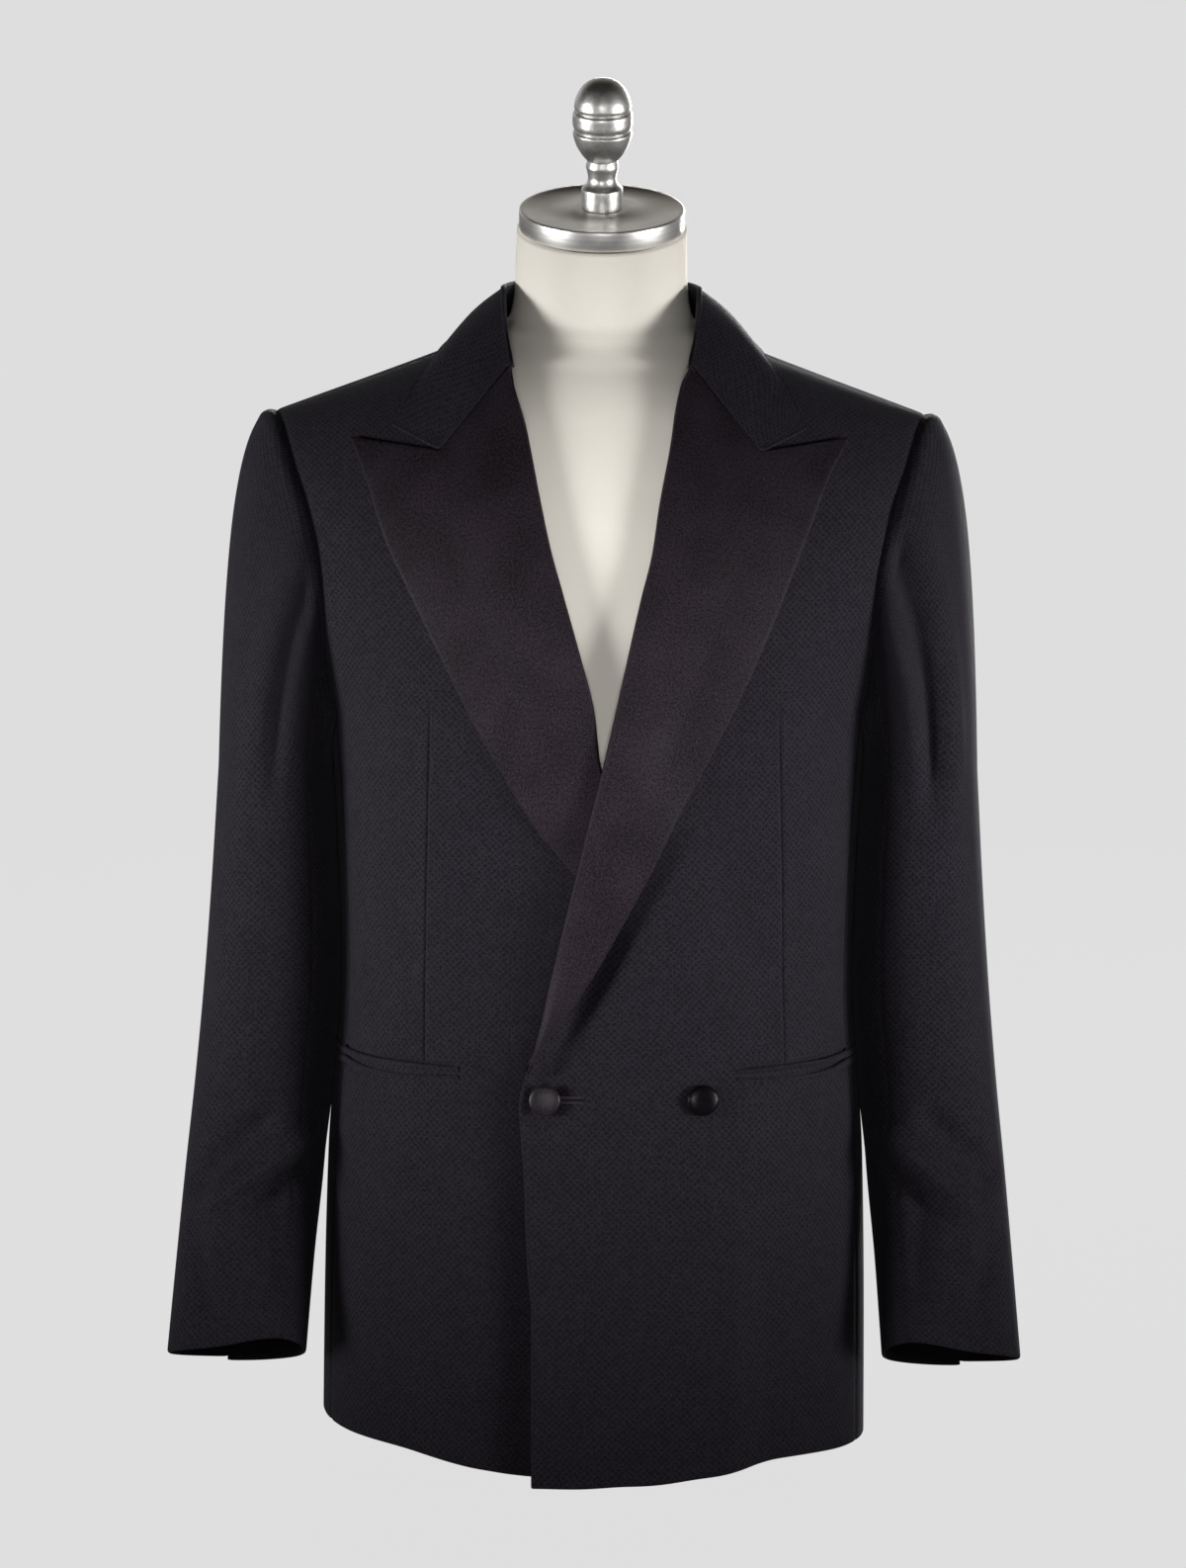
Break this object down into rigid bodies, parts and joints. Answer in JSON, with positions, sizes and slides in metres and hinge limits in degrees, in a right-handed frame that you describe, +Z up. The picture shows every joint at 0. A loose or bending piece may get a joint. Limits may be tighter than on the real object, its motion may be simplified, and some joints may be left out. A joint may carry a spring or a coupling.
{
  "type": "tuxedo jacket on a limbless dress form",
  "caption": "Tuxedo jacket with satin peak lapels, jetted pockets and covered buttons, worn by a limbless canvas dress form with a metal neck cap and turned finial.",
  "frame": {"origin": "on the floor under the middle of the whole object's width and depth, where the form's foot stands", "axes": "+Z up; the front of the jacket faces -Y; +X is the wearer's left, so the panels named left are at +X"},
  "size_m": [0.596, 0.2935, 0.9697],
  "materials": {
    "suiting": "near-black worsted with a small diamond weave",
    "satin": "black silk satin with a soft sheen",
    "canvas": "cream canvas over a moulded form",
    "brushed_aluminium": "turned and brushed",
    "cast_aluminium": "cast and polished"
  },
  "bodies": {
    "root": {"front_left": "suiting", "front_right": "suiting", "side_left": "suiting", "side_right": "suiting", "back_left": "suiting", "back_right": "suiting", "topsleeve_left": "suiting", "topsleeve_right": "suiting", "undersleeve_left": "suiting", "undersleeve_right": "suiting", "collar": "suiting", "jet_upper_left": "suiting", "jet_lower_left": "suiting", "jet_upper_right": "suiting", "jet_lower_right": "suiting", "lapel_left": "satin", "lapel_right": "satin", "button_fastened": "satin", "button_show": "satin", "cuff_button_left_1": "satin", "cuff_button_left_2": "satin", "cuff_button_left_3": "satin", "cuff_button_left_4": "satin", "cuff_button_right_1": "satin", "cuff_button_right_2": "satin", "cuff_button_right_3": "satin", "cuff_button_right_4": "satin", "form_torso": "canvas", "neck_cap": "brushed_aluminium", "finial": "cast_aluminium", "form_foot": "cast_aluminium"}
  },
  "joints": []
}
